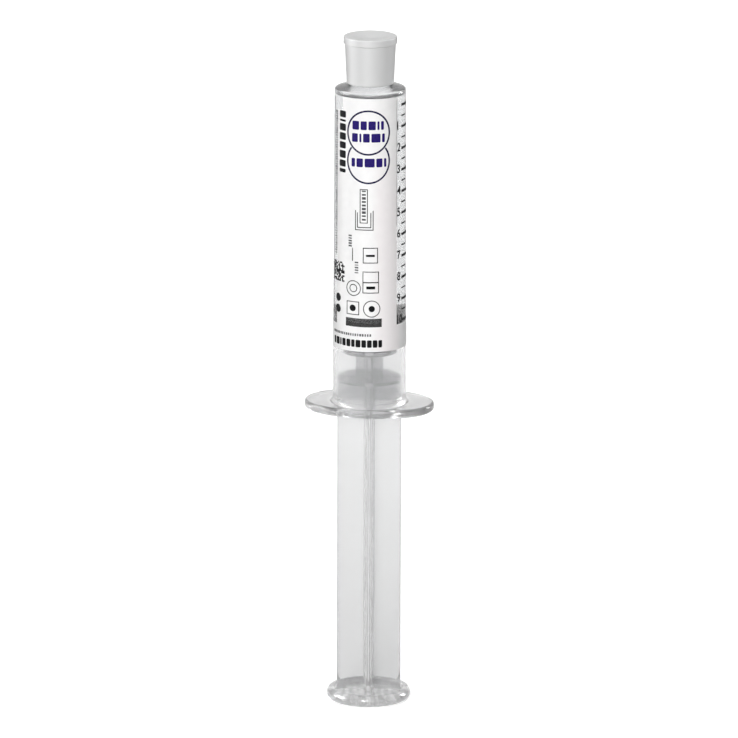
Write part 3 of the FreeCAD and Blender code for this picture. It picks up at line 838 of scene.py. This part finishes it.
def makeDashTree():
    # a run of short dashes of uneven width along x, turned as a whole, drawn flat
    tree = GeometryTree("dashRun", {
        "Count": 10, "Pitch": 0.5, "High": 0.5, "Least": 0.2, "Most": 0.4, "Seed": 1, "Turn": 0.0,
        "X": 0.0, "Y": 0.0,
    })
    given = tree.given
    places = tree.add("GeometryNodeMeshLine", {
        "Count": given["Count"], "Offset": tree.vector(x=given["Pitch"]),
    })
    dash = tree.add("GeometryNodeMeshGrid", {
        "Size X": 1.0, "Size Y": given["High"], "Vertices X": 2, "Vertices Y": 2,
    })
    chance = tree.node("FunctionNodeRandomValue", {
        2: given["Least"], 3: given["Most"], "Seed": given["Seed"],
    }, data_type="FLOAT")
    run = tree.add("GeometryNodeInstanceOnPoints", {
        "Points": places, "Instance": dash, "Scale": tree.vector(x=chance.outputs[1], y=1.0, z=1.0),
    })
    return tree.finish(tree.add("GeometryNodeTransform", {
        "Geometry": run, "Translation": tree.vector(x=given["X"], y=given["Y"]),
        "Rotation": tree.vector(z=given["Turn"]),
    }))


def makeCellTree():
    # a square field of small cells, some left out, drawn flat
    tree = GeometryTree("cellField", {"Cells": 12, "Cell": 0.4, "Share": 0.5, "Seed": 1, "X": 0.0, "Y": 0.0})
    given = tree.given
    side = tree.math("MULTIPLY", tree.math("SUBTRACT", given["Cells"], 1.0), given["Cell"])
    places = tree.add("GeometryNodeMeshGrid", {
        "Size X": side, "Size Y": side, "Vertices X": given["Cells"], "Vertices Y": given["Cells"],
    })
    cell = tree.add("GeometryNodeMeshGrid", {
        "Size X": given["Cell"], "Size Y": given["Cell"], "Vertices X": 2, "Vertices Y": 2,
    })
    chance = tree.node("FunctionNodeRandomValue", {
        "Probability": given["Share"], "Seed": given["Seed"],
    }, data_type="BOOLEAN")
    field = tree.add("GeometryNodeInstanceOnPoints", {
        "Points": places, "Instance": cell, "Selection": chance.outputs[3],
    })
    return tree.finish(tree.moved(field, tree.vector(x=given["X"], y=given["Y"])))


dashTree = makeDashTree()
dashRuns = {  # first dash, number, pitch, height, width range and turn; mm and degrees
    "side_dashes": {"X": across(-65.5), "Y": 145.3, "Count": 60, "Pitch": 0.58, "High": 0.85, "Least": 0.18,
                    "Most": 0.42, "Turn": -90.0, "Seed": 3},
    "foot_dashes": {"X": across(-70.0), "Y": 91.95, "Count": 19, "Pitch": 0.6, "High": 0.6, "Least": 0.25,
                    "Most": 0.5, "Turn": 0.0, "Seed": 5},
    "box_dashes": {"X": -1.45, "Y": 127.0, "Count": 9, "Pitch": 0.86, "High": 0.95, "Least": 0.3,
                   "Most": 0.62, "Turn": -90.0, "Seed": 8},
    "line_dashes": {"X": -4.9, "Y": 116.0, "Count": 5, "Pitch": 0.62, "High": 0.9, "Least": 0.2,
                    "Most": 0.42, "Turn": -90.0, "Seed": 11},
    "lower_dashes": {"X": -3.2, "Y": 109.6, "Count": 5, "Pitch": 0.62, "High": 0.9, "Least": 0.2,
                     "Most": 0.42, "Turn": -90.0, "Seed": 12},
}
for name, run in dashRuns.items():
    inputs = {**run, "Turn": math.radians(run["Turn"])}
    wrapped(name, flatDrawing(name, dashTree, inputs, greyInk), greyInk)

cellField = {"Cells": 12, "Cell": 0.4, "Share": 0.66, "Seed": 4, "X": across(-59.0), "Y": 106.8}
wrapped("cell_field", flatDrawing("cell_field", makeCellTree(), cellField, blackInk), blackInk)

shapePrint = {  # mm from the middle of the front, and above the floor
    "line": 0.2,
    "rings": [((-4.0, 103.3), 1.8), ((-4.0, 103.3), 0.9), ((0.5, 98.4), 1.95)], "ringSteps": (48, 36, 48),
    "frames": [  # left, low, right, high, and whether the top is open
        (-2.45, 119.2, -0.5, 127.5, False),
        (-3.6, 117.5, 0.87, 122.3, True),
        (-3.1, 118.1, 0.33, 121.8, True),
        (-1.65, 109.5, 1.95, 113.3, False),
        (-1.7, 102.2, 2.2, 104.9, False),
        (-1.7, 104.75, 2.2, 107.5, False),
        (-5.8, 96.8, -2.5, 100.1, False),
    ],
    "bars": [(-0.9, 111.1, 1.2, 111.6), (-0.8, 103.2, 1.3, 103.9), (-4.35, 109.9, -4.15, 113.1)],
    "discs": [((0.5, 98.4), 0.75), ((-4.15, 98.45), 0.8)],
}
shape = bmesh.new()
for (centre, radius), steps in zip(shapePrint["rings"], shapePrint["ringSteps"]):
    drawRing(shape, centre, radius, shapePrint["line"], steps=steps)
for left, low, right, high, openTop in shapePrint["frames"]:
    drawFrame(shape, left, low, right, high, shapePrint["line"], openTop)
for bar in shapePrint["bars"]:
    drawBlock(shape, *bar)
for centre, radius in shapePrint["discs"]:
    drawDisc(shape, centre, radius)
wrapped("outline_shapes", shape, blackInk)

sideDots = {"across": -58.0, "heights": (100.4, 97.7), "radius": 1.0}  # degrees, then mm
shape = bmesh.new()
for height in sideDots["heights"]:
    drawDisc(shape, (across(sideDots["across"]), height), sideDots["radius"])
wrapped("side_dots", shape, blackInk)

edgeLines = {  # degrees round from the front, then mm
    "left": -74.0, "right": 46.9, "top": 148.6, "leftFoot": 96.0, "rightFoot": 118.0, "line": 0.12,
}
shape = bmesh.new()
for side, foot in (("left", "leftFoot"), ("right", "rightFoot")):
    start = across(edgeLines[side])
    drawBlock(shape, start, edgeLines[foot], start + edgeLines["line"], edgeLines["top"])
wrapped("edge_lines", shape, greyInk)

# Floor, light and camera
print("studio")
floorLook = {
    "dark": (0.92, 0.92, 0.92), "light": (0.93, 0.93, 0.93),
    "gloss": (0.85, 0.95), "cloud": 3.0, "grain": 50.0, "glow": 0.45,
    "reach": 12.0,  # m from the middle to each edge
}
lamps = {  # place, target, size and power, then whether it lights matt surfaces and shows in gloss; m and W
    "keyLight": ((-0.4, -2.2, 0.8), (0, 0, 0.1), (0.9, 1.0), 58, True, True),
    "leftRim": ((-1.3, 0.0, 0.45), (0, 0, 0.1), (0.8, 0.9), 36, False, True),
    "rightRim": ((1.3, 0.6, 0.45), (0, 0, 0.1), (0.4, 0.9), 22, False, True),
    "topLight": ((0, 0.75, 1.7), (0, 0.75, 0), (2.4, 2.0), 17, True, True),
    "backLight": ((0.3, 2.3, 0.8), (0, 0, 0.1), (1.6, 1.2), 22, True, False),
}
worldLook = {
    "horizon": 0.95, "zenith": 0.9,  # strengths seen in gloss and through the plastic
    "from": 0.05, "to": 0.8,  # how steeply up the sky goes from one to the other
    "fill": 0.07,  # the share of them that lights matt surfaces
}
cameraSizes = {
    "focalPixels": 8000.0, "frame": 738, "sensor": 36.0, "clip": (0.1, 50.0),
    "place": (-0.0001, -1.85015, 0.55311), "down": 14.3, "roll": 0.175,  # m and degrees
}


def makeFloor():
    mesh = bpy.data.meshes.new("floor")
    reach = floorLook["reach"]
    corners = [(-reach, -reach, 0), (reach, -reach, 0), (reach, reach, 0), (-reach, reach, 0)]
    mesh.from_pydata(corners, [], [(0, 1, 2, 3)])
    nodes, skin = moulded("floorCard", floorLook)
    nodes.set("Emission Color", skin.outputs["Color"])
    nodes.set("Emission Strength", floorLook["glow"])
    floor = linkMesh("floor", mesh, nodes.material)
    floor.visible_diffuse = False  # the card behind the object doesn't brighten it


def makeSoftbox(name, place, target, size, power, matt, shine):
    lamp = bpy.data.lights.new(name, "AREA")
    lamp.shape = "RECTANGLE"
    lamp.size, lamp.size_y = size
    lamp.energy = power
    holder = bpy.data.objects.new(name, lamp)
    holder.location = place
    holder.rotation_euler = (Vector(target) - Vector(place)).to_track_quat("-Z", "Y").to_euler()
    holder.visible_diffuse = matt
    holder.visible_glossy = shine
    holder.visible_transmission = shine
    bpy.context.scene.collection.objects.link(holder)


def makeWorld():
    look = worldLook
    world = bpy.data.worlds.new("studio")
    world.use_nodes = True
    nodes = Finish("studio", world.node_tree)
    rise = nodes.add("SeparateXYZ", {0: nodes.add("TexCoord").outputs["Generated"]}).outputs["Z"]
    strength = nodes.add("MapRange", {
        "Value": rise, "From Min": look["from"], "From Max": look["to"], "To Min": look["horizon"],
        "To Max": look["zenith"],
    }).outputs[0]
    diffuse = nodes.add("LightPath").outputs["Is Diffuse Ray"]
    share = nodes.add("MapRange", {"Value": diffuse, "To Min": 1.0, "To Max": look["fill"]}).outputs[0]
    nodes.fill(world.node_tree.nodes["Background"], {
        "Strength": nodes.math("MULTIPLY", strength, share), "Color": (1, 1, 1, 1),
    })
    bpy.context.scene.world = world


def placeCamera():
    lens = bpy.data.cameras.new("camera")
    lens.sensor_width = cameraSizes["sensor"]
    lens.lens = lens.sensor_width * cameraSizes["focalPixels"] / cameraSizes["frame"]
    lens.clip_start, lens.clip_end = cameraSizes["clip"]
    camera = bpy.data.objects.new("camera", lens)
    camera.location = cameraSizes["place"]
    camera.rotation_mode = "QUATERNION"
    pitch = Quaternion((1, 0, 0), math.radians(90 - cameraSizes["down"]))
    camera.rotation_quaternion = pitch @ Quaternion((0, 0, 1), math.radians(cameraSizes["roll"]))
    bpy.context.scene.collection.objects.link(camera)
    bpy.context.scene.camera = camera


makeFloor()
for name, setting in lamps.items():
    makeSoftbox(name, *setting)
makeWorld()
placeCamera()
bpy.context.scene.view_settings.view_transform = "Standard"
